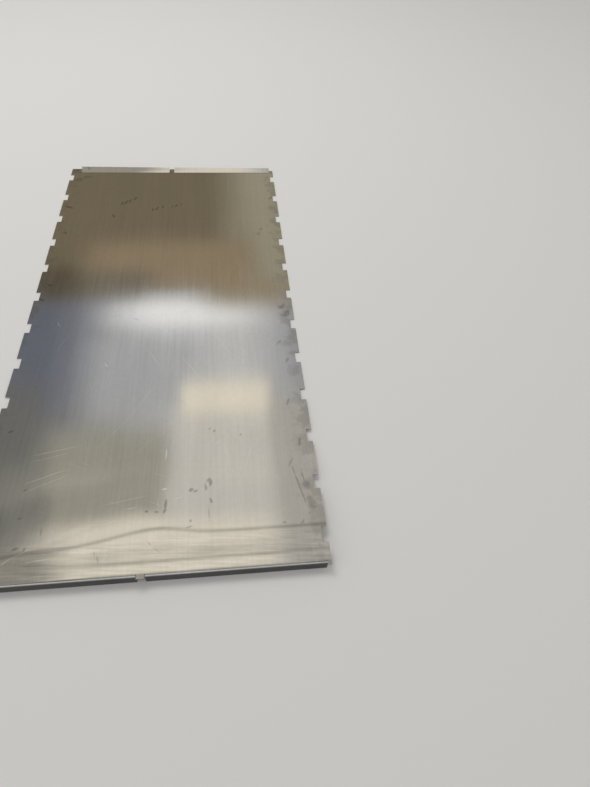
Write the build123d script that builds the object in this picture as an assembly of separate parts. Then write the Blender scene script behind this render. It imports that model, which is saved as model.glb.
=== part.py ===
from build123d import *
import math
import os

# A folded steel sheet with castellated long sides, lying on a level floor.
# X runs across the sheet, Y along it from the near end to the far end, and Z up.
# The near end's flange is turned down and stands on the floor, so the sheet sags from it
# to the floor. The far end's strips are only part folded, upwards. Sizes are in millimetres.

# Stock
sheet_thickness = 3.0
sheet_width = 1120.0
fold_to_fold = 2373.0
steel_stiffness = 205.0e3
steel_density = 7.85e-6
sideways_strain_ratio = 0.3
gravity = 9.81

# Bends
bend_inner_radius = 3.0
bend_flat = 2.0
relief_slit = 1.5

# Near end, turned down
near_flange_height = 38.0
near_corner_lug_width = 11.0
near_lug_reach = 6.0

# Far end, part folded upwards: how far each strip is turned, in degrees, at its left and right end
far_left_strip_turn = (26.0, 17.0)
far_right_strip_turn = (18.0, 12.0)
far_strip_reach = 33.0
far_left_lug_width = 53.0
far_left_lug_reach = 34.0
far_right_lug_width = 20.0
far_right_lug_reach = 16.0
far_middle_lug_reach = 32.0

# Lug near the middle of both ends
middle_lug_width = 24.0
middle_lug_offset = -12.0

# Notches along both long sides
notch_count = 12
notch_pitch = 200.0
notch_length = 55.0
notch_depth = 19.0
right_notch_start = 50.0
left_notch_start = 32.0

# Buckle across the sheet beside the near flange: how far in from the fold its crest lies at both
# edges of the sheet, and between them as (across, in from the fold)
buckle_height = 3.5
buckle_reach = 90.0
crest_at_left_edge = 45.0
crest_at_right_edge = 129.0
crest_between = [(-390.0, 92.0), (-210.0, 107.0), (20.0, 149.0), (190.0, 131.0)]

# Where the curves get a point between their ends: shares of the way up to and down from the crest,
# and the number of steps along the sag
point_before_crest = 0.55
point_after_crest = 0.5
sag_steps = 5

# Sizes that follow
half_width = sheet_width / 2
bend_outer_radius = bend_inner_radius + sheet_thickness
bend_land = bend_outer_radius + bend_flat
near_rise = near_flange_height - sheet_thickness
plate_stiffness = steel_stiffness * sheet_thickness**3 / (12 * (1 - sideways_strain_ratio**2))
weight_per_area = steel_density * sheet_thickness * gravity
sag_length = (24 * plate_stiffness * near_rise / weight_per_area) ** 0.25
crest_line = [(-half_width, crest_at_left_edge), *crest_between, (half_width, crest_at_right_edge)]
buckle_end = max(crest for across, crest in crest_line) + buckle_reach
far_end = fold_to_fold + max(far_left_lug_reach, far_middle_lug_reach, far_right_lug_reach)
overrun = 10.0


def sag(along):
    """Height of the underside where a propped sheet sags to the floor."""
    share = max(0.0, 1 - along / sag_length)
    return near_rise * (2 * share**3 - share**4)


def sag_direction(along):
    """Which way the underside runs there, towards the far end."""
    share = max(0.0, 1 - along / sag_length)
    return (1.0, -near_rise * (6 * share**2 - 4 * share**3) / sag_length)


def buckle(along, crest):
    """Height that the buckle adds, from its crest out to its reach on both sides."""
    reach = crest - bend_land if along < crest else buckle_reach
    share = min(1.0, abs(along - crest) / reach)
    return buckle_height * math.cos(share * math.pi / 2) ** 2


def strip_section(across, rise, directions):
    """A strip of sheet seen from its side: its underside is a curve through the points given."""
    under = Spline(rise, tangents=directions)
    top = Spline([(y, z + sheet_thickness) for y, z in rise], tangents=directions)
    outline = Wire([under.edge(), Line(under @ 1, top @ 1).edge(), top.edge(), Line(under @ 0, top @ 0).edge()])
    return Plane(origin=(across, 0, 0), x_dir=(0, 1, 0), z_dir=(1, 0, 0)) * make_face(outline)


def buckle_section(across, crest):
    """The buckled strip, from the near bend to where the buckle has died out."""
    stations = [crest * point_before_crest, crest, crest + buckle_reach * point_after_crest]
    rise = [(bend_land, near_rise)] + [(along, sag(along) + buckle(along, crest)) for along in stations]
    rise += [(buckle_end, sag(buckle_end))]
    return strip_section(across, rise, [(1, 0), sag_direction(buckle_end)])


def sagging_strip():
    """The strip that sags smoothly from the buckle to the floor."""
    step_length = (sag_length - buckle_end) / sag_steps
    stations = [buckle_end + step * step_length for step in range(sag_steps + 1)]
    rise = [(along, sag(along)) for along in stations]
    section = strip_section(-half_width, rise, [sag_direction(buckle_end), (1, 0)])
    return extrude(section, amount=sheet_width, dir=(1, 0, 0))


def block(x_range, y_range, z_range):
    """A box between two corners."""
    (x0, x1), (y0, y1), (z0, z1) = x_range, y_range, z_range
    return Pos((x0 + x1) / 2, (y0 + y1) / 2, (z0 + z1) / 2) * Box(x1 - x0, y1 - y0, z1 - z0)


def cut_notches(sheet):
    """Takes the rows of notches out of both long sides."""
    for side, start in ((1, right_notch_start), (-1, left_notch_start)):
        inner = side * (half_width - notch_depth)
        outer = side * (half_width + overrun)
        for number in range(notch_count):
            top = fold_to_fold - start - number * notch_pitch
            height = (-overrun, near_flange_height + overrun)
            sheet -= block(sorted((inner, outer)), (top - notch_length, top), height)
    return sheet


def flange_spans(left_lug, right_lug):
    """Where a flange starts and stops across the sheet, left and right of the middle lug."""
    middle_left = middle_lug_offset - middle_lug_width / 2
    middle_right = middle_lug_offset + middle_lug_width / 2
    left = (left_lug - half_width + relief_slit, middle_left - relief_slit)
    right = (middle_right + relief_slit, half_width - right_lug - relief_slit)
    return [left, right]


near_spans = flange_spans(near_corner_lug_width, near_corner_lug_width)
far_spans = flange_spans(far_left_lug_width, far_right_lug_width)


def open_ends(sheet):
    """Cuts both ends back between the lugs, to where the bends start."""
    height = (-overrun, near_flange_height + overrun)
    for left, right in near_spans:
        span = (left - relief_slit, right + relief_slit)
        sheet -= block(span, (-near_lug_reach - overrun, bend_land), height)
    for left, right in far_spans:
        span = (left - relief_slit, right + relief_slit)
        sheet -= block(span, (fold_to_fold - bend_land, far_end + overrun), height)
    middle_edge = fold_to_fold + far_middle_lug_reach
    right_edge = fold_to_fold + far_right_lug_reach
    left_edge = fold_to_fold + far_left_lug_reach
    middle = (far_spans[0][1], far_spans[1][0])
    sheet -= block(middle, (middle_edge, far_end + overrun), height)
    sheet -= block((far_spans[1][1], half_width + overrun), (right_edge, far_end + overrun), height)
    sheet -= block((-half_width - overrun, far_spans[0][0]), (left_edge, far_end + overrun), height)
    return sheet


def near_flange(span):
    """A strip turned down square, standing on the floor."""
    left, right = span
    foot = near_flange_height
    t = sheet_thickness
    outline = Polyline(
        (bend_land, foot), (0, foot), (0, 0), (t, 0), (t, foot - t), (bend_land, foot - t), (bend_land, foot)
    )
    side = Plane(origin=(left, 0, 0), x_dir=(0, 1, 0), z_dir=(1, 0, 0))
    section = make_face(outline)
    section = fillet(section.vertices().sort_by_distance((0, foot))[0], bend_outer_radius)
    section = fillet(section.vertices().sort_by_distance((t, foot - t))[0], bend_inner_radius)
    return extrude(side * section, amount=right - left, dir=(1, 0, 0))


def far_strip_section(across, degrees):
    """Section of a far strip at one place across: land, bend and straight web, turned up by an angle."""
    turn = math.radians(degrees)
    bend_start = fold_to_fold - bend_outer_radius
    neutral_radius = bend_inner_radius + sheet_thickness / 2
    web = far_strip_reach + bend_outer_radius - neutral_radius * turn
    corners = []
    for radius in (bend_outer_radius, bend_inner_radius):
        start = (fold_to_fold - bend_land, bend_outer_radius - radius)
        bend = CenterArc((bend_start, bend_outer_radius), radius, -90, degrees)
        tip = (bend @ 1) + Vector(web * math.cos(turn), web * math.sin(turn))
        corners.append((Vector(start), bend, tip))
    (under_start, under_bend, under_tip), (top_start, top_bend, top_tip) = corners
    outline = Wire([
        Line(under_start, under_bend @ 0).edge(),
        under_bend.edge(),
        Line(under_bend @ 1, under_tip).edge(),
        Line(under_tip, top_tip).edge(),
        Line(top_bend @ 1, top_tip).edge(),
        top_bend.edge(),
        Line(top_start, top_bend @ 0).edge(),
        Line(under_start, top_start).edge(),
    ])
    return Plane(origin=(across, 0, 0), x_dir=(0, 1, 0), z_dir=(1, 0, 0)) * make_face(outline)


def far_strip(span, turns):
    """A far strip, whose fold opens out from one end to the other."""
    sections = [far_strip_section(across, degrees) for across, degrees in zip(span, turns)]
    return loft(sections, ruled=True)


whole_width = (-half_width, half_width)
panel = block(whole_width, (sag_length, far_end), (0, sheet_thickness))
panel += sagging_strip()
panel += loft([buckle_section(across, crest) for across, crest in crest_line])
panel += block(whole_width, (-near_lug_reach, bend_land), (near_rise, near_flange_height))
panel = cut_notches(panel)
panel = open_ends(panel)
for span in near_spans:
    panel += near_flange(span)
for span, turns in zip(far_spans, (far_left_strip_turn, far_right_strip_turn)):
    panel += far_strip(span, turns)

# The finished sheet's origin is the middle of its footprint on the floor
footprint_middle = (far_end - near_lug_reach) / 2
panel = Pos(0, -footprint_middle, 0) * panel

os.makedirs("parts", exist_ok=True)
export_step(panel, "parts/folded_sheet.step")
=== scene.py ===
import math

import bmesh
import bpy
from mathutils import Matrix, Vector, noise


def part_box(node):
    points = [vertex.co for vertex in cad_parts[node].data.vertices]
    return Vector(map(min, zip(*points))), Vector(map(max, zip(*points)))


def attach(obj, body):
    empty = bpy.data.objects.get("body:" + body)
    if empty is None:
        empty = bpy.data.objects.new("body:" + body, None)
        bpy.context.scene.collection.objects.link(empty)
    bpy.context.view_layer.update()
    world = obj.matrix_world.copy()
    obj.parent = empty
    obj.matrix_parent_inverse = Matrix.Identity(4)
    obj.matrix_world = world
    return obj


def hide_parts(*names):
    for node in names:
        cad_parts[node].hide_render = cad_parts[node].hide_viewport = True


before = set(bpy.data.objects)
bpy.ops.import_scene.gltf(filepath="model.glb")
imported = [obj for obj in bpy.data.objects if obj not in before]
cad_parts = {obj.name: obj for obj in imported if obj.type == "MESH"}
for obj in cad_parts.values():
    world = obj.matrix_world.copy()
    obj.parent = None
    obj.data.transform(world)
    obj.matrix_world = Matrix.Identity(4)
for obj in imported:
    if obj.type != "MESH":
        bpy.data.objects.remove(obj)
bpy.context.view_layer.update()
scene = bpy.context.scene
scene.view_settings.view_transform = "Standard"

# The camera
# It is held at head height beside the near end, and looks down along the sheet and a little to the right.
eye = Vector((0.2826, -1.8722, 1.6595))
looks_down = math.radians(49.908)
looks_right = math.radians(9.813)
leans = math.radians(5.144)
ahead = Vector((math.sin(looks_right) * math.cos(looks_down), math.cos(looks_right) * math.cos(looks_down),
                -math.sin(looks_down)))
level = Vector((math.cos(looks_right), -math.sin(looks_right), 0.0))
upright = level.cross(ahead)
to_right = math.cos(leans) * level + math.sin(leans) * upright
to_top = math.cos(leans) * upright - math.sin(leans) * level
camera = bpy.data.objects.new("camera", bpy.data.cameras.new("camera"))
scene.collection.objects.link(camera)
camera.matrix_world = Matrix.Translation(eye) @ Matrix((to_right, to_top, -ahead)).transposed().to_4x4()
camera.data.sensor_width = 36.0
camera.data.lens = 25.49
scene.camera = camera

# The flat blank, with its castellated sides
# One piece of 3 mm mild steel sheet. Both long sides are cut with a row of twelve shallow notches,
# and slits part the strips that are folded from the lugs that stay in line.
low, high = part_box("folded_sheet")
thickness = 0.003
half_width = high.x
near_lug_reach = 0.006
far_left_lug_reach = 0.034
far_middle_lug_reach = 0.032
far_right_lug_reach = 0.016
far_strip_reach = 0.033
near_fold = low.y + near_lug_reach
far_fold = high.y - far_left_lug_reach
bend_inner_radius = 0.003
bend_outer_radius = bend_inner_radius + thickness
bend_land = 0.008
far_bend_start = far_fold - bend_outer_radius
far_bend_length = 0.0021
far_bend_steps = 3
notch_depth = 0.019
notch_length = 0.055
notch_pitch = 0.200
notches_a_side = 12
right_first_notch = 0.050
left_first_notch = 0.032
near_corner_lug = 0.011
far_left_lug = 0.053
far_right_lug = 0.020
middle_lug = (-0.024, 0.0)
slit = 0.0015
spacing_across = 0.024
spacing_along = 0.030
spacing_in_buckle = 0.003
buckle_zone = near_fold + 0.300

# Each notch has its side, near end and far end, and each lug its left and right side
notches = []
for side, first_notch in ((1, right_first_notch), (-1, left_first_notch)):
    for number in range(notches_a_side):
        far_side = far_fold - first_notch - number * notch_pitch
        notches.append((side, far_side - notch_length, far_side))
near_lugs = ((-half_width, -half_width + near_corner_lug), middle_lug,
             (half_width - near_corner_lug, half_width))
far_lugs = ((-half_width, -half_width + far_left_lug), middle_lug,
            (half_width - far_right_lug, half_width))

sheet = bmesh.new()
bmesh.ops.create_grid(sheet, x_segments=1, y_segments=1, size=0.5)
bmesh.ops.scale(sheet, verts=sheet.verts, vec=(2 * half_width, high.y - low.y, 1.0))


def stations(needed, first, last, spacing):
    """The places that are needed, with evenly spaced ones filled in between them."""
    needed = sorted(set(round(place, 5) for place in needed if first < place < last))
    filled = list(needed)
    for start, end in zip([first, *needed], [*needed, last]):
        gaps = math.ceil((end - start) / spacing)
        filled += [start + (end - start) * step / gaps for step in range(1, gaps)]
    return sorted(filled)


def score(places, direction):
    """Cuts right through the blank at each place."""
    for place in places:
        everything = sheet.verts[:] + sheet.edges[:] + sheet.faces[:]
        bmesh.ops.bisect_plane(sheet, geom=everything, dist=1e-7, plane_co=place * direction,
                               plane_no=direction)


def cut_away(left, right, near, far):
    """Takes out the cells that lie within a rectangle."""
    waste = []
    for face in sheet.faces:
        middle = face.calc_center_median()
        if left < middle.x < right and near < middle.y < far:
            waste.append(face)
    bmesh.ops.delete(sheet, geom=waste, context="FACES")


slit_sides = []
for lugs in (near_lugs, far_lugs):
    for left, right in lugs:
        slit_sides += [left - slit, left, right, right + slit]
across = stations([*slit_sides, half_width - notch_depth, notch_depth - half_width],
                  -half_width, half_width, spacing_across)
notch_ends = [end for side, start, stop in notches for end in (start, stop)]
near_bend = [near_fold, near_fold + bend_outer_radius, near_fold + bend_land]
far_bend = [far_fold - bend_land]
far_bend += [far_bend_start + far_bend_length * step / far_bend_steps for step in range(far_bend_steps + 1)]
far_ends = [far_fold + reach for reach in (far_right_lug_reach, far_middle_lug_reach, far_strip_reach)]
in_buckle = [place for place in notch_ends if place < buckle_zone]
beyond_buckle = [place for place in notch_ends if place > buckle_zone]
along = stations([*near_bend, *in_buckle], low.y, buckle_zone, spacing_in_buckle)
along += [buckle_zone]
along += stations([*beyond_buckle, *far_bend, *far_ends], buckle_zone, high.y, spacing_along)
score(across, Vector((1, 0, 0)))
score(along, Vector((0, 1, 0)))
for side, start, stop in notches:
    inner = side * (half_width - notch_depth)
    outer = side * half_width
    cut_away(min(inner, outer), max(inner, outer), start, stop)


def strips_between(lugs):
    """Left and right side of each strip that is folded."""
    return [(before[1] + slit, after[0] - slit) for before, after in zip(lugs, lugs[1:])]


for left, right in strips_between(near_lugs):
    cut_away(left, right, low.y, near_fold + bend_outer_radius)
    cut_away(left - slit, left, low.y, near_fold + bend_land)
    cut_away(right, right + slit, low.y, near_fold + bend_land)
for left, right in strips_between(far_lugs):
    cut_away(left, right, far_fold + far_strip_reach, high.y)
    cut_away(left - slit, left, far_fold - bend_land, high.y)
    cut_away(right, right + slit, far_fold - bend_land, high.y)
for (left, right), reach in zip(far_lugs[1:], (far_middle_lug_reach, far_right_lug_reach)):
    cut_away(left, right, far_fold + reach, high.y)

# The sag and the buckle
# The near end stands on its turned-down flange, so the sheet bends from there down to the floor under
# its own weight. Beside the flange it has buckled into a long low wave that runs from side to side.
near_top = 0.038
near_rise = near_top - thickness
sag_length = 1.1652
sag_at_bend = near_rise * 0.014
level_start = 0.0024
lead_in = 0.030
buckle_height = 0.0035
buckle_reach = 0.210
level_spot = 0.034
level_spot_left = (-0.52, -0.30)
level_spot_right = (0.08, -0.04)
crest_points = ((-0.560, 0.045), (-0.390, 0.092), (-0.210, 0.107), (0.020, 0.149), (0.190, 0.131),
                (0.560, 0.129))


def ramp(value, start, end):
    """0 at the start and 1 at the end, and level beyond them."""
    return min(1.0, max(0.0, (value - start) / (end - start)))


def crest_at(x):
    """How far in from the near fold the wave's crest lies, on a smooth curve through its points."""
    index = max(spot for spot in range(len(crest_points) - 1) if spot == 0 or crest_points[spot][0] <= x)
    (x1, y1), (x2, y2) = crest_points[index], crest_points[index + 1]
    x0, y0 = crest_points[max(index - 1, 0)]
    x3, y3 = crest_points[min(index + 2, len(crest_points) - 1)]
    share = (x - x1) / (x2 - x1)
    leave = (y2 - y0) / (x2 - x0) * (x2 - x1)
    arrive = (y3 - y1) / (x3 - x1) * (x2 - x1)
    return (y1 * (2 * share**3 - 3 * share**2 + 1) + leave * (share**3 - 2 * share**2 + share)
            + y2 * (3 * share**2 - 2 * share**3) + arrive * (share**3 - share**2))


def underside(x, y):
    """Height of the sheet's underside over the floor."""
    in_from_fold = y - near_fold
    if in_from_fold <= bend_land:
        return near_rise
    # The curve of a heavy strip that is propped at one end and comes down level on the floor
    left_to_sag = max(0.0, 1 - in_from_fold / sag_length)
    height = near_rise * (2 * left_to_sag**3 - left_to_sag**4)
    crest = crest_at(x)
    if in_from_fold < crest:
        from_crest = (crest - in_from_fold) / (crest - bend_land)
    else:
        level_here = level_spot * min(ramp(x, *level_spot_left), ramp(x, *level_spot_right))
        from_crest = min(1.0, max(0.0, in_from_fold - crest - level_here) / buckle_reach)
    height += buckle_height * math.cos(from_crest * math.pi / 2)**2
    settled = ramp(in_from_fold, bend_land, bend_land + lead_in)
    return height + (sag_at_bend + level_start * settled) * (1 - settled)**2


def ridge(off_line, width):
    """How much is left of a rounded ridge, this far off its line."""
    return math.exp(-(off_line / width)**2)


# Finer than the buckle: the sheet lies a little unevenly and ripples beside the bend. A sharp crease runs
# along the crest, a fainter one lies nearer the bend, and a hollow branches off at the left.
uneven_height = 0.00018
free_of_near_fold = 0.05
held_by_far_fold = 0.03
free_of_far_fold = 0.23
ripple_height = 0.00022
ripple_start = bend_land + 0.006
ripple_full = ripple_start + 0.02
ripple_end = 0.20
crease_height = 0.00016
crease_width = 0.0060
crease_past_crest = 0.002
second_crease_height = 0.00006
second_crease_width = 0.0050
second_crease_share = 0.55
second_crease_in = 0.048
second_crease_bow = 0.012
second_crease_bows = (-0.15, -0.35)
second_crease_left_end = -0.36
hollow_depth = 0.00012
hollow_width = 0.005
hollow_foot = -0.40
hollow_in = 0.080
hollow_slope = 0.42
hollow_left_end = (-0.42, -0.38)
hollow_right_end = (-0.13, -0.19)
clear_of_box = 0.00002

# The crease layer keeps how near each point lies to a crease, so that the steel's colour can be darkened
# there as painted shade
crease = sheet.verts.layers.float.new("crease")
for point in sheet.verts:
    x, y = point.co.xy
    in_from_fold = y - near_fold
    height = underside(x, y)
    loose = ramp(y, far_fold - held_by_far_fold, far_fold - free_of_far_fold)
    loose *= ramp(in_from_fold, 0.0, free_of_near_fold)
    height += uneven_height * loose * (1 + noise.noise(Vector((x * 2.6, y * 2.1, 4.0))))
    if in_from_fold > ripple_start:
        ripple = noise.noise(Vector((x * 5.0, in_from_fold * 30.0, 9.0)))
        rippled = ramp(in_from_fold, ripple_start, ripple_full) * ramp(in_from_fold, ripple_end, 0.0)
        height += ripple_height * ripple * rippled
        on_crest = ridge(in_from_fold - crest_at(x) - crease_past_crest, crease_width)
        height += crease_height * on_crest
        point[crease] = on_crest
        if x > second_crease_left_end:
            second_crease = second_crease_in + second_crease_bow * ramp(x, *second_crease_bows)
            on_second = ridge(in_from_fold - second_crease, second_crease_width)
            height += second_crease_height * on_second
            point[crease] += second_crease_share * on_second
        hollow = hollow_in + (x - hollow_foot) * hollow_slope
        hollow_here = min(ramp(x, *hollow_left_end), ramp(x, *hollow_right_end))
        height -= hollow_depth * hollow_here * ridge(in_from_fold - hollow, hollow_width)
    point.co.z = min(height + thickness, high.z - clear_of_box)

# The folded strips
# The near strips were turned down square in a press brake, and carry the sheet. The far strips were
# only part folded, upwards, and open out from left to right.
near_bend_steps = 8
# How far each far strip is turned up, in degrees, at its left and right end
far_turns = ((26.0, 17.0), (18.0, 12.0))
neutral_radius = bend_inner_radius + thickness / 2
flat_web = far_strip_reach + bend_outer_radius - far_bend_length
same_place = 1e-5

near_starts = []
for edge in sheet.edges:
    middle = (edge.verts[0].co + edge.verts[1].co) / 2
    if edge.is_boundary and abs(middle.y - near_fold - bend_outer_radius) < same_place:
        if any(left < middle.x < right for left, right in strips_between(near_lugs)):
            near_starts.append(edge)
bend_middle = (0, near_fold + bend_outer_radius, near_top - bend_outer_radius)
bent = bmesh.ops.spin(sheet, geom=near_starts, cent=bend_middle, axis=(1, 0, 0), angle=math.radians(90),
                      steps=near_bend_steps, use_duplicate=False)
bend_ends = [part for part in bent["geom_last"] if isinstance(part, bmesh.types.BMEdge)]
drawn = bmesh.ops.extrude_edge_only(sheet, edges=bend_ends)
for point in drawn["geom"]:
    if isinstance(point, bmesh.types.BMVert):
        point.co.z = 0.0

for (left, right), (left_turn, right_turn) in zip(strips_between(far_lugs), far_turns):
    for point in sheet.verts:
        x, y = point.co.xy
        if y < far_bend_start + same_place or not left - same_place < x < right + same_place:
            continue
        turn = math.radians(left_turn + (right_turn - left_turn) * (x - left) / (right - left))
        web = far_strip_reach + bend_outer_radius - neutral_radius * turn
        turned = turn * min(1.0, (y - far_bend_start) / far_bend_length)
        up_web = web * max(0.0, y - far_bend_start - far_bend_length) / flat_web
        point.co.y = far_bend_start + bend_inner_radius * math.sin(turned) + up_web * math.cos(turn)
        point.co.z = thickness + bend_inner_radius * (1 - math.cos(turned)) + up_web * math.sin(turn)

# The thickness of the sheet, and its cut edges
# The sheet is 3 mm thick all over. Its edges are as the laser left them, with no burr worth drawing.
sharp_corner = math.radians(30)
bmesh.ops.remove_doubles(sheet, verts=sheet.verts, dist=1e-6)
bmesh.ops.recalc_face_normals(sheet, faces=sheet.faces)
if max(sheet.faces, key=lambda face: face.calc_area()).normal.z < 0:
    bmesh.ops.reverse_faces(sheet, faces=sheet.faces)
sheet.normal_update()
skin = set(sheet.faces)
outline = [edge for edge in sheet.edges if edge.is_boundary]
bmesh.ops.solidify(sheet, geom=sheet.faces[:], thickness=thickness)
sheet.normal_update()
# Solidify leans the cut sides outwards where the sheet slopes, so they are set back to the blank's width
for point in sheet.verts:
    point.co.x = max(-half_width, min(half_width, point.co.x))
for edge in outline:
    for face in edge.link_faces:
        if face not in skin:
            face.material_index = 1
for face in sheet.faces:
    face.smooth = True
for edge in sheet.edges:
    edge.smooth = len(edge.link_faces) == 2 and edge.calc_face_angle() < sharp_corner
mesh = bpy.data.meshes.new("steel_sheet")
sheet.to_mesh(mesh)
sheet.free()
steel_sheet = bpy.data.objects.new("steel_sheet", mesh)
scene.collection.objects.link(steel_sheet)
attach(steel_sheet, "root")
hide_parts("folded_sheet")

# The bare steel finish
# Cold-rolled steel with no coating: a fine grain along the sheet, long faint streaks from the rolls, dark
# finger marks and smudges from handling, pale scratches, and scuffs along both notched sides.
# The colour also holds painted shade on the near flange's outer face and along the creases, and painted
# sheen beside the near bend.


def add(tree, kind, **settings):
    """Puts a node in a material, a group or the world."""
    made = tree.nodes.new(kind)
    for name, value in settings.items():
        setattr(made, name, value)
    return made


def feed(tree, socket, value):
    """Gives a socket a plain value, or joins it to another node's output."""
    if isinstance(value, bpy.types.NodeSocket):
        tree.links.new(value, socket)
    else:
        socket.default_value = value


def calc(tree, operation, *values):
    """One sum on plain numbers."""
    made = add(tree, "ShaderNodeMath", operation=operation)
    for socket, value in zip(made.inputs, values):
        feed(tree, socket, value)
    return made.outputs[0]


def vector_calc(tree, operation, *values):
    """One sum on places or directions."""
    made = add(tree, "ShaderNodeVectorMath", operation=operation)
    for socket, value in zip(made.inputs, values):
        feed(tree, socket, value)
    return made.outputs[0]


def fade(tree, value, start, end):
    """0 at the start and 1 at the end, with a soft run between them."""
    made = add(tree, "ShaderNodeMapRange", interpolation_type="SMOOTHSTEP")
    feed(tree, made.inputs["Value"], value)
    made.inputs["From Min"].default_value = start
    made.inputs["From Max"].default_value = end
    return made.outputs["Result"]


def spread(tree, value, low_end, high_end):
    """Turns a share of 0 to 1 into a number between two ends."""
    made = add(tree, "ShaderNodeMapRange", clamp=False)
    feed(tree, made.inputs["Value"], value)
    made.inputs["To Min"].default_value = low_end
    made.inputs["To Max"].default_value = high_end
    return made.outputs["Result"]


def tint(tree, share, first, second, way="MIX"):
    """Lays the second colour over the first, by a share. A Mix node's colours are its inputs 6 and 7."""
    made = add(tree, "ShaderNodeMix", data_type="RGBA", blend_type=way)
    feed(tree, made.inputs[0], share)
    feed(tree, made.inputs[6], first)
    feed(tree, made.inputs[7], second)
    return made.outputs[2]


def mottle(tree, position, size, detail=2.0, rough=0.5):
    """Uneven patches of about this many to the metre, from 0 to 1."""
    made = add(tree, "ShaderNodeTexNoise")
    feed(tree, made.inputs["Vector"], position)
    made.inputs["Scale"].default_value = size
    made.inputs["Detail"].default_value = detail
    made.inputs["Roughness"].default_value = rough
    return made.outputs[0]


def new_group(name, takes, gives):
    """A shader group with named sockets, and its two end nodes."""
    group = bpy.data.node_groups.new(name, "ShaderNodeTree")
    for label, kind in takes:
        group.interface.new_socket(name=label, in_out="INPUT", socket_type=kind)
    for label in gives:
        group.interface.new_socket(name=label, in_out="OUTPUT", socket_type="NodeSocketFloat")
    return group, group.nodes.new("NodeGroupInput"), group.nodes.new("NodeGroupOutput")


grain_group, given, made_out = new_group(
    "rolled_grain", [("Position", "NodeSocketVector"), ("Threads per metre", "NodeSocketFloat"),
                     ("Length", "NodeSocketFloat")], ["Grain"])
lengthwise = calc(grain_group, "DIVIDE", given.outputs["Threads per metre"], given.outputs["Length"])
squeeze = add(grain_group, "ShaderNodeCombineXYZ")
feed(grain_group, squeeze.inputs["X"], given.outputs["Threads per metre"])
feed(grain_group, squeeze.inputs["Y"], lengthwise)
feed(grain_group, squeeze.inputs["Z"], lengthwise)
drawn_out = vector_calc(grain_group, "MULTIPLY", given.outputs["Position"], squeeze.outputs[0])
feed(grain_group, made_out.inputs["Grain"], mottle(grain_group, drawn_out, 1.0, 3.0, 0.6))

smear_inputs = ("Across", "Along", "Place across", "Place along", "Turn", "Length", "Width", "Ragged")
smear_group, given, made_out = new_group(
    "smear", [(label, "NodeSocketFloat") for label in smear_inputs], ["Mark"])
off_across = calc(smear_group, "SUBTRACT", given.outputs["Across"], given.outputs["Place across"])
off_along = calc(smear_group, "SUBTRACT", given.outputs["Along"], given.outputs["Place along"])
turn_cosine = calc(smear_group, "COSINE", given.outputs["Turn"])
turn_sine = calc(smear_group, "SINE", given.outputs["Turn"])
down_mark = calc(smear_group, "ADD", calc(smear_group, "MULTIPLY", off_across, turn_cosine),
                 calc(smear_group, "MULTIPLY", off_along, turn_sine))
over_mark = calc(smear_group, "SUBTRACT", calc(smear_group, "MULTIPLY", off_along, turn_cosine),
                 calc(smear_group, "MULTIPLY", off_across, turn_sine))
lengths = calc(smear_group, "DIVIDE", down_mark, given.outputs["Length"])
widths = calc(smear_group, "DIVIDE", over_mark, given.outputs["Width"])
reach = calc(smear_group, "SQRT", calc(smear_group, "ADD", calc(smear_group, "MULTIPLY", lengths, lengths),
                                       calc(smear_group, "MULTIPLY", widths, widths)))
uneven = calc(smear_group, "ADD", reach, given.outputs["Ragged"])
feed(smear_group, made_out.inputs["Mark"], fade(smear_group, uneven, 0.55, 0.2))


def marks_on(tree, across_sheet, along_sheet, ragged, marks):
    """All the marks of a list together."""
    total = 0.0
    for x, y, turned, length, width, strength in marks:
        mark = add(tree, "ShaderNodeGroup", node_tree=smear_group)
        feed(tree, mark.inputs["Across"], across_sheet)
        feed(tree, mark.inputs["Along"], along_sheet)
        mark.inputs["Place across"].default_value = x / 1000
        mark.inputs["Place along"].default_value = near_fold + y / 1000
        mark.inputs["Turn"].default_value = math.radians(turned)
        mark.inputs["Length"].default_value = length / 1000
        mark.inputs["Width"].default_value = width / 1000
        feed(tree, mark.inputs["Ragged"], ragged)
        total = calc(tree, "MAXIMUM", total, calc(tree, "MULTIPLY", mark.outputs["Mark"], strength))
    return total


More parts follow.
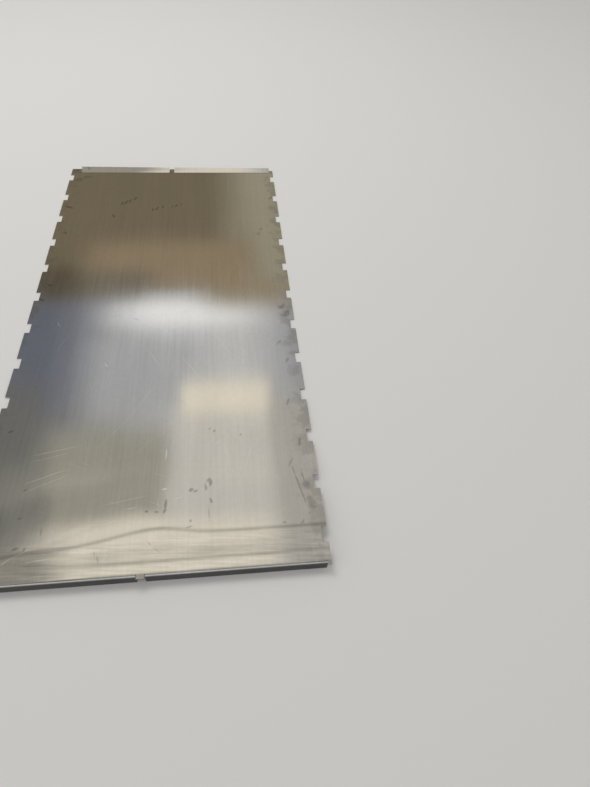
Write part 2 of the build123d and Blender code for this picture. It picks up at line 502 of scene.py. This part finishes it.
# A mark's numbers are its place across and in from the near fold, its turn in degrees, its length and
# width, and its strength. Places and sizes are in millimetres.
finger_marks = [
    (-258, 2050, 75, 34, 12, 0.6), (-237, 2064, 70, 46, 12, 0.7), (-216, 2080, 75, 44, 13, 0.6),
    (-194, 2096, 70, 36, 14, 0.7), (-96, 1990, 75, 36, 12, 0.55), (-74, 2004, 70, 42, 13, 0.65),
    (-46, 2016, 80, 34, 12, 0.55), (4, 2014, 80, 32, 11, 0.4), (24, 2028, 70, 40, 12, 0.5),
    (48, 2042, 80, 32, 11, 0.35), (-291, 1934, 100, 36, 16, 0.65), (-522, 2020, -25, 60, 20, 0.7),
    (-505, 1790, -40, 34, 14, 0.6), (443, 1765, 80, 44, 22, 0.35), (458, 1808, 60, 40, 18, 0.35),
    (-508, 1388, -30, 30, 14, 0.6), (-528, 1290, -30, 34, 14, 0.6), (532, 2104, 60, 40, 20, 0.6),
    (528, 1165, 50, 60, 34, 0.6), (512, 1208, 60, 52, 24, 0.5), (178, 300, 95, 36, 15, 0.6),
    (194, 311, 80, 30, 15, 0.65), (188, 326, 60, 18, 12, 0.55), (130, 291, 40, 20, 15, 0.6),
    (146, 286, 20, 20, 14, 0.5), (50, 238, 88, 48, 12, 0.65), (48, 214, 70, 20, 10, 0.6),
    (-10, 218, 30, 16, 12, 0.7), (23, 214, 0, 15, 11, 0.6), (-384, 117, 20, 24, 11, 0.6),
    (-360, 112, 90, 16, 8, 0.4), (-322, 165, 93, 34, 8, 0.4), (-502, 577, 30, 22, 13, 0.5),
    (-403, 327, 60, 18, 10, 0.45), (195, 246, 110, 28, 10, 0.6), (189, 192, 92, 62, 9, 0.3),
    (514, 282, 90, 46, 34, 0.45), (490, 285, -78, 215, 9, 0.45), (509, 305, -81, 95, 8, 0.4),
    (524, 214, 100, 62, 34, 0.45), (-397, 221, 20, 16, 9, 0.45), (127, 152, 15, 34, 7, 0.45),
    (131, 173, 90, 14, 9, 0.5), (427, 146, 20, 16, 8, 0.45), (486, 143, 60, 26, 9, 0.4),
    (208, 536, 60, 20, 9, 0.6), (192, 548, 60, 16, 8, 0.5), (302, 512, 60, 18, 8, 0.4),
    (-140, 60, 105, 42, 7, 0.35), (-152, 78, 100, 26, 5, 0.3), (30, 82, 140, 52, 5, 0.3),
    (8, 104, 130, 34, 5, 0.3), (-535, 2388, 20, 44, 24, 0.55), (-468, 2394, 100, 36, 16, 0.45),
    (-512, 2290, 30, 70, 44, 0.4), (-470, 2320, 10, 60, 30, 0.4), (470, 380, 70, 40, 10, 0.4),
    (512, 470, 80, 52, 12, 0.5), (488, 660, 70, 40, 12, 0.4), (505, 880, 60, 44, 14, 0.4),
    (480, 985, 50, 46, 12, 0.4),
]
pale_scratches = [
    (-330, 482, 12, 190, 3.0, 0.9), (-345, 455, 14, 160, 2.6, 0.7), (-350, 375, 22, 170, 3.0, 0.9),
    (-325, 356, 24, 130, 2.6, 0.7), (-380, 330, 28, 90, 2.4, 0.6), (-212, 888, -55, 34, 7.0, 1.0),
    (-432, 1132, -60, 40, 5.0, 0.8), (-118, 1152, -30, 40, 5.0, 0.9), (44, 300, 10, 22, 6.0, 1.0),
    (42, 442, 88, 56, 4.0, 0.8), (-90, 262, 12, 190, 2.4, 0.5), (-60, 690, 62, 240, 2.2, 0.4),
    (-140, 560, 55, 260, 2.2, 0.4), (120, 860, -58, 210, 2.2, 0.4), (-250, 760, -65, 180, 2.2, 0.4),
    (250, 980, -62, 160, 2.2, 0.4), (-30, 920, -60, 150, 2.2, 0.5), (-215, 1170, 20, 110, 4.0, 0.5),
    (-400, 1010, 70, 160, 2.2, 0.4), (330, 430, 75, 170, 2.2, 0.4), (-120, 185, 18, 70, 3.0, 0.6),
    (90, 262, 10, 40, 3.0, 0.6), (-60, 232, 8, 46, 4.0, 0.5), (300, 1480, 72, 220, 2.0, 0.3),
    (-180, 1600, -68, 240, 2.0, 0.3), (210, 2180, 75, 160, 2.0, 0.3), (-404, 77, 39, 60, 4.0, 0.7),
    (-366, 100, 31, 74, 4.0, 0.8), (-322, 114, 13, 84, 3.6, 0.6), (-312, 73, 6, 96, 4.0, 0.7),
]

hairline_group, given, made_out = new_group(
    "hairlines", [("Position", "NodeSocketVector"), ("Turn", "NodeSocketFloat"),
                  ("Lines per metre", "NodeSocketFloat"), ("Length", "NodeSocketFloat")], ["Hairlines"])
swing = add(hairline_group, "ShaderNodeVectorRotate", rotation_type="Z_AXIS")
feed(hairline_group, swing.inputs["Vector"], given.outputs["Position"])
feed(hairline_group, swing.inputs["Angle"], given.outputs["Turn"])
down_lines = calc(hairline_group, "DIVIDE", given.outputs["Lines per metre"], given.outputs["Length"])
squeeze = add(hairline_group, "ShaderNodeCombineXYZ")
feed(hairline_group, squeeze.inputs["X"], down_lines)
feed(hairline_group, squeeze.inputs["Y"], given.outputs["Lines per metre"])
feed(hairline_group, squeeze.inputs["Z"], down_lines)
drawn_out = vector_calc(hairline_group, "MULTIPLY", swing.outputs[0], squeeze.outputs[0])
threads = mottle(hairline_group, drawn_out, 1.0, 1.0)
feed(hairline_group, made_out.inputs["Hairlines"], fade(hairline_group, threads, 0.71, 0.80))

# Where the scuffs along each side start and where they are full, and how far in from the near fold the
# streaks across the sheet are gone and full. A hairline's length is in times its width.
right_scuffs = (0.455, 0.545)
left_scuffs = (-0.485, -0.55)
left_scuff_share = 0.7
cross_streak_reach = (0.150, 0.100)
hairline_length = 30.0
hairline_share = 0.22

steel = bpy.data.materials.new("bare_steel")
steel.use_nodes = True
tree = steel.node_tree
shader = tree.nodes["Principled BSDF"]
position = add(tree, "ShaderNodeTexCoord").outputs["Object"]
sides = add(tree, "ShaderNodeSeparateXYZ")
feed(tree, sides.inputs[0], position)


def grain(threads, length, place=position):
    """Streaks along the sheet, so many to the metre and so many times longer than wide."""
    made = add(tree, "ShaderNodeGroup", node_tree=grain_group)
    feed(tree, made.inputs["Position"], place)
    feed(tree, made.inputs["Threads per metre"], threads)
    feed(tree, made.inputs["Length"], length)
    return made.outputs["Grain"]


# Streaks and grain from the rolls, and coarser streaks across the sheet beside the near bend, which are
# partly relief and partly painted sheen
broad_streaks = grain(11.0, 14.0)
fine_streaks = grain(95.0, 40.0)
hair = grain(700.0, 60.0)
crosswise = add(tree, "ShaderNodeVectorRotate", rotation_type="Z_AXIS")
feed(tree, crosswise.inputs["Vector"], position)
crosswise.inputs["Angle"].default_value = math.radians(94.0)
beside_bend = fade(tree, sides.outputs["Y"], *[near_fold + reach for reach in cross_streak_reach])
cross_grain = calc(tree, "SUBTRACT", grain(120.0, 14.0, crosswise.outputs[0]), 0.5)
# Painted sheen: beside the near bend the crosswise streaks brighten the colour, as well as making relief
cross_streaks_and_painted_sheen = calc(tree, "MULTIPLY", cross_grain, beside_bend)
patches = mottle(tree, position, 3.2)
specks = mottle(tree, position, 60.0, 4.0, 0.6)

# Marks from handling: finger marks, pale scratches, and fine hairlines that cross the sheet three ways
ragged = calc(tree, "MULTIPLY", calc(tree, "SUBTRACT", specks, 0.5), 0.9)
fingers = marks_on(tree, sides.outputs["X"], sides.outputs["Y"], ragged, finger_marks)
scratches = marks_on(tree, sides.outputs["X"], sides.outputs["Y"], calc(tree, "MULTIPLY", ragged, 0.6),
                     pale_scratches)
crossing = 0.0
for turned, lines in ((24.0, 190.0), (-52.0, 170.0), (78.0, 210.0)):
    made = add(tree, "ShaderNodeGroup", node_tree=hairline_group)
    feed(tree, made.inputs["Position"], position)
    made.inputs["Turn"].default_value = math.radians(turned)
    made.inputs["Lines per metre"].default_value = lines
    made.inputs["Length"].default_value = hairline_length
    crossing = calc(tree, "MAXIMUM", crossing, made.outputs["Hairlines"])
scratches = calc(tree, "MAXIMUM", scratches, calc(tree, "MULTIPLY", crossing, hairline_share))

# Scuffs, heavy along both notched sides and faint elsewhere
right_side = fade(tree, sides.outputs["X"], *right_scuffs)
left_side = calc(tree, "MULTIPLY", fade(tree, sides.outputs["X"], *left_scuffs), left_scuff_share)
side_share = calc(tree, "MAXIMUM", right_side, left_side)
worn = fade(tree, calc(tree, "ADD", mottle(tree, position, 17.0, 4.0, 0.62),
                       calc(tree, "MULTIPLY", side_share, 0.16)), 0.56, 0.74)
worn = calc(tree, "MULTIPLY", worn, calc(tree, "ADD", side_share, 0.12))

# Painted shade on the near flange's outer face, painted shade along the creases beside the near bend, and a
# faint darker line just before the far fold
# Painted shade: the near flange's outer face is darkened as if it lay in shade
painted_shade_on_outer_face = calc(tree, "MULTIPLY", fade(tree, sides.outputs["Y"], near_fold + 0.0035, near_fold + 0.0005),
                  fade(tree, sides.outputs["Z"], near_top - 0.0015, near_top - 0.0045))
# Painted shade along the creases, read from the mesh's crease layer
painted_crease_shade = add(tree, "ShaderNodeAttribute", attribute_name="crease").outputs["Fac"]
# A faint darker line just before the far fold
darker_line_before_far_fold = calc(tree, "MULTIPLY", fade(tree, sides.outputs["Y"], far_fold - 0.014, far_fold - 0.008),
                 fade(tree, sides.outputs["Y"], far_fold - 0.001, far_fold - 0.005))

# How bright the steel is where each streak, mark or painted shade is absent, and where it is full
tone = spread(tree, broad_streaks, 0.92, 1.08)
for what, absent, full in (
        (fine_streaks, 0.93, 1.07), (hair, 0.95, 1.05), (patches, 0.94, 1.06), (specks, 0.95, 1.05),
        (fingers, 1.0, 0.38), (worn, 1.0, 0.82), (scratches, 1.0, 1.35), (cross_streaks_and_painted_sheen, 1.0, 1.55),
        (painted_crease_shade, 1.0, 0.66), (painted_shade_on_outer_face, 1.0, 0.2), (darker_line_before_far_fold, 1.0, 0.7)):
    tone = calc(tree, "MULTIPLY", tone, spread(tree, what, absent, full))

# What the tone, the marks and the grain do to the steel's colour, roughness and relief
grey = add(tree, "ShaderNodeCombineColor")
for channel in range(3):
    feed(tree, grey.inputs[channel], tone)
feed(tree, shader.inputs["Base Color"], tint(tree, 1.0, (0.62, 0.62, 0.61, 1), grey.outputs[0], "MULTIPLY"))
shader.inputs["Metallic"].default_value = 1.0
dull = spread(tree, fine_streaks, 0.05, 0.10)
dull = calc(tree, "ADD", dull, spread(tree, patches, -0.015, 0.02))
for what, amount in ((fingers, 0.05), (worn, 0.08), (scratches, 0.15)):
    dull = calc(tree, "ADD", dull, calc(tree, "MULTIPLY", what, amount))
feed(tree, shader.inputs["Roughness"], dull)
relief = add(tree, "ShaderNodeBump")
relief.inputs["Strength"].default_value = 1.0
relief.inputs["Distance"].default_value = 0.001
roughened = calc(tree, "MULTIPLY", fine_streaks, 0.010)
for what, amount in ((hair, 0.003), (broad_streaks, 0.05), (cross_streaks_and_painted_sheen, 0.05), (specks, 0.006)):
    roughened = calc(tree, "ADD", roughened, calc(tree, "MULTIPLY", what, amount))
feed(tree, relief.inputs["Height"], roughened)
feed(tree, shader.inputs["Normal"], relief.outputs[0])
mesh.materials.append(steel)

# The cut edges
# The laser leaves the 3 mm edges a little darker than the faces, with fine upright ridges.
cut = bpy.data.materials.new("cut_edge")
cut.use_nodes = True
tree = cut.node_tree
shader = tree.nodes["Principled BSDF"]
position = add(tree, "ShaderNodeTexCoord").outputs["Object"]
ridged = vector_calc(tree, "MULTIPLY", position, (1.0, 1.0, 0.08))
ridges = mottle(tree, ridged, 900.0, 2.0)
heat = mottle(tree, position, 22.0, 3.0)
colour = tint(tree, heat, (0.30, 0.29, 0.27, 1), (0.52, 0.51, 0.49, 1))
colour = tint(tree, calc(tree, "MULTIPLY", fade(tree, heat, 0.58, 0.7), 0.5), colour, (0.30, 0.20, 0.12, 1))
feed(tree, shader.inputs["Base Color"], colour)
shader.inputs["Metallic"].default_value = 1.0
feed(tree, shader.inputs["Roughness"], spread(tree, ridges, 0.28, 0.48))
relief = add(tree, "ShaderNodeBump")
relief.inputs["Strength"].default_value = 0.5
relief.inputs["Distance"].default_value = 0.0002
feed(tree, relief.inputs["Height"], ridges)
feed(tree, shader.inputs["Normal"], relief.outputs[0])
mesh.materials.append(cut)

# The floor
# A plain pale floor, which only carries the sheet's shadow. It lies a hair under the sheet, so that their
# faces never lie in one plane.
hair_under_sheet = 0.0002
floor_mesh = bpy.data.meshes.new("floor")
ground = bmesh.new()
bmesh.ops.create_grid(ground, x_segments=1, y_segments=1, size=40.0)
ground.to_mesh(floor_mesh)
ground.free()
floor = bpy.data.objects.new("floor", floor_mesh)
scene.collection.objects.link(floor)
floor.location.z = -hair_under_sheet
paint = bpy.data.materials.new("floor")
paint.use_nodes = True
shader = paint.node_tree.nodes["Principled BSDF"]
shader.inputs["Base Color"].default_value = (0.80, 0.79, 0.77, 1)
shader.inputs["Roughness"].default_value = 0.9
floor_mesh.materials.append(paint)

# The light
# A soft studio: the world is a ceiling of large soft panels with dim surroundings beyond the far end, and
# one broad lamp stands high beyond the far end, so that shadows fall towards the near end.
world = bpy.data.worlds.new("studio")
scene.world = world
world.use_nodes = True
tree = world.node_tree
sky = tree.nodes["Background"]
direction = add(tree, "ShaderNodeSeparateXYZ")
feed(tree, direction.inputs[0], add(tree, "ShaderNodeTexCoord").outputs["Generated"])
above = calc(tree, "MAXIMUM", direction.outputs["Z"], 0.02)
ceiling_x = calc(tree, "DIVIDE", direction.outputs["X"], above)
ceiling_y = calc(tree, "DIVIDE", direction.outputs["Y"], above)


def soft_panel(left, right, near, far, soft_sides, soft_near, soft_far):
    """Share of a ceiling panel, with its own softness along its sides, near and far edge."""
    sideways = calc(tree, "MULTIPLY", fade(tree, ceiling_x, left - soft_sides, left + soft_sides),
                    fade(tree, ceiling_x, right + soft_sides, right - soft_sides))
    lengthways = calc(tree, "MULTIPLY", fade(tree, ceiling_y, near - soft_near, near + soft_near),
                      fade(tree, ceiling_y, far + soft_far, far - soft_far))
    return calc(tree, "MULTIPLY", sideways, lengthways)


# The dim room round the panels: grey overhead, bluish and then brown further on, pale at the far end, behind
# and at both sides
light = tint(tree, fade(tree, ceiling_y, 0.80, 0.95), (0.20, 0.19, 0.18, 1), (0.19, 0.20, 0.245, 1))
light = tint(tree, fade(tree, ceiling_y, 1.185, 1.220), light, (0.235, 0.19, 0.125, 1))
light = tint(tree, fade(tree, ceiling_y, 2.0, 5.0), light, (0.55, 0.55, 0.55, 1))
light = tint(tree, fade(tree, ceiling_y, 0.05, -0.35), light, (0.42, 0.42, 0.43, 1))
beside = calc(tree, "ADD", fade(tree, ceiling_x, 0.30, 0.8), fade(tree, ceiling_x, -0.6, -1.2))
light = tint(tree, beside, light, (0.46, 0.46, 0.47, 1))

# A panel's numbers are its left, right, near and far edge, each as a share of its height overhead, then the
# softness of its sides, near edge and far edge, and its colour. Later panels hang in front of earlier ones.
panels = (
    (-0.30, 0.16, 0.52, 1.207, 0.17, 0.20, 0.008, (0.715, 0.71, 0.70)),
    (-0.34, -0.07, 0.87, 1.045, 0.06, 0.03, 0.03, (0.56, 0.56, 0.57)),
    (-0.285, 0.05, 1.075, 1.164, 0.11, 0.03, 0.025, (1.25, 1.24, 1.23)),
    (-0.07, 0.60, 1.145, 1.27, 0.07, 0.055, 0.03, (0.375, 0.305, 0.195)),
    (-0.60, -0.235, 1.185, 1.30, 0.03, 0.03, 0.03, (0.22, 0.19, 0.135)),
    (-0.70, -0.40, 1.19, 1.32, 0.05, 0.03, 0.03, (0.13, 0.105, 0.07)),
    (-0.146, 0.40, 0.45, 0.89, 0.02, 0.05, 0.02, (0.77, 0.73, 0.665)),
    (-0.124, 0.089, 0.875, 0.931, 0.01, 0.008, 0.008, (1.13, 1.02, 0.82)),
    (-0.42, -0.146, 0.70, 0.855, 0.02, 0.02, 0.03, (0.45, 0.43, 0.35)),
    (-0.52, -0.41, 0.60, 0.85, 0.03, 0.04, 0.04, (0.31, 0.30, 0.26)),
    (-0.60, -0.446, 0.795, 0.94, 0.020, 0.03, 0.04, (0.215, 0.21, 0.195)),
    (-0.40, 0.11, 0.42, 0.725, 0.08, 0.06, 0.065, (0.99, 0.91, 0.765)),
    (-0.70, -0.345, 0.20, 0.60, 0.04, 0.05, 0.03, (0.38, 0.355, 0.30)),
    (-0.27, 0.12, 0.06, 0.47, 0.05, 0.08, 0.09, (0.44, 0.41, 0.35)),
    (-0.9, 0.9, -1.25, -0.55, 0.3, 0.2, 0.2, (0.95, 0.94, 0.92)),
    (-2.6, -1.3, -1.2, 1.0, 0.3, 0.4, 0.4, (0.95, 0.95, 0.96)),
    (1.0, 2.4, -1.2, 0.8, 0.3, 0.4, 0.4, (0.95, 0.94, 0.92)),
    (0.085, 0.60, 0.40, 0.90, 0.035, 0.06, 0.04, (0.56, 0.53, 0.475)),
    (0.02, 0.60, 1.24, 2.4, 0.09, 0.03, 0.3, (0.42, 0.38, 0.28)),
    (-0.40, 0.07, 1.30, 1.44, 0.05, 0.03, 0.05, (0.375, 0.29, 0.185)),
    (-0.20, 0.07, 1.225, 1.32, 0.06, 0.02, 0.03, (0.375, 0.285, 0.18)),
)
for *edges, colour in panels:
    light = tint(tree, soft_panel(*edges), light, (*colour, 1))
light = tint(tree, fade(tree, direction.outputs["Z"], 0.24, 0.10), light, (0.70, 0.70, 0.69, 1))
feed(tree, sky.inputs["Color"], light)

lamp = bpy.data.objects.new("broad_lamp", bpy.data.lights.new("broad_lamp", "AREA"))
scene.collection.objects.link(lamp)
lamp.data.shape = "RECTANGLE"
lamp.data.size = 4.0
lamp.data.size_y = 3.0
lamp.data.energy = 150.0
lamp.location = (-1.5, 3.0, 6.0)
lamp.rotation_euler = (Vector((0.0, -0.2, 0.0)) - lamp.location).to_track_quat("-Z", "Y").to_euler()
lamp.visible_glossy = False
lamp.visible_camera = False
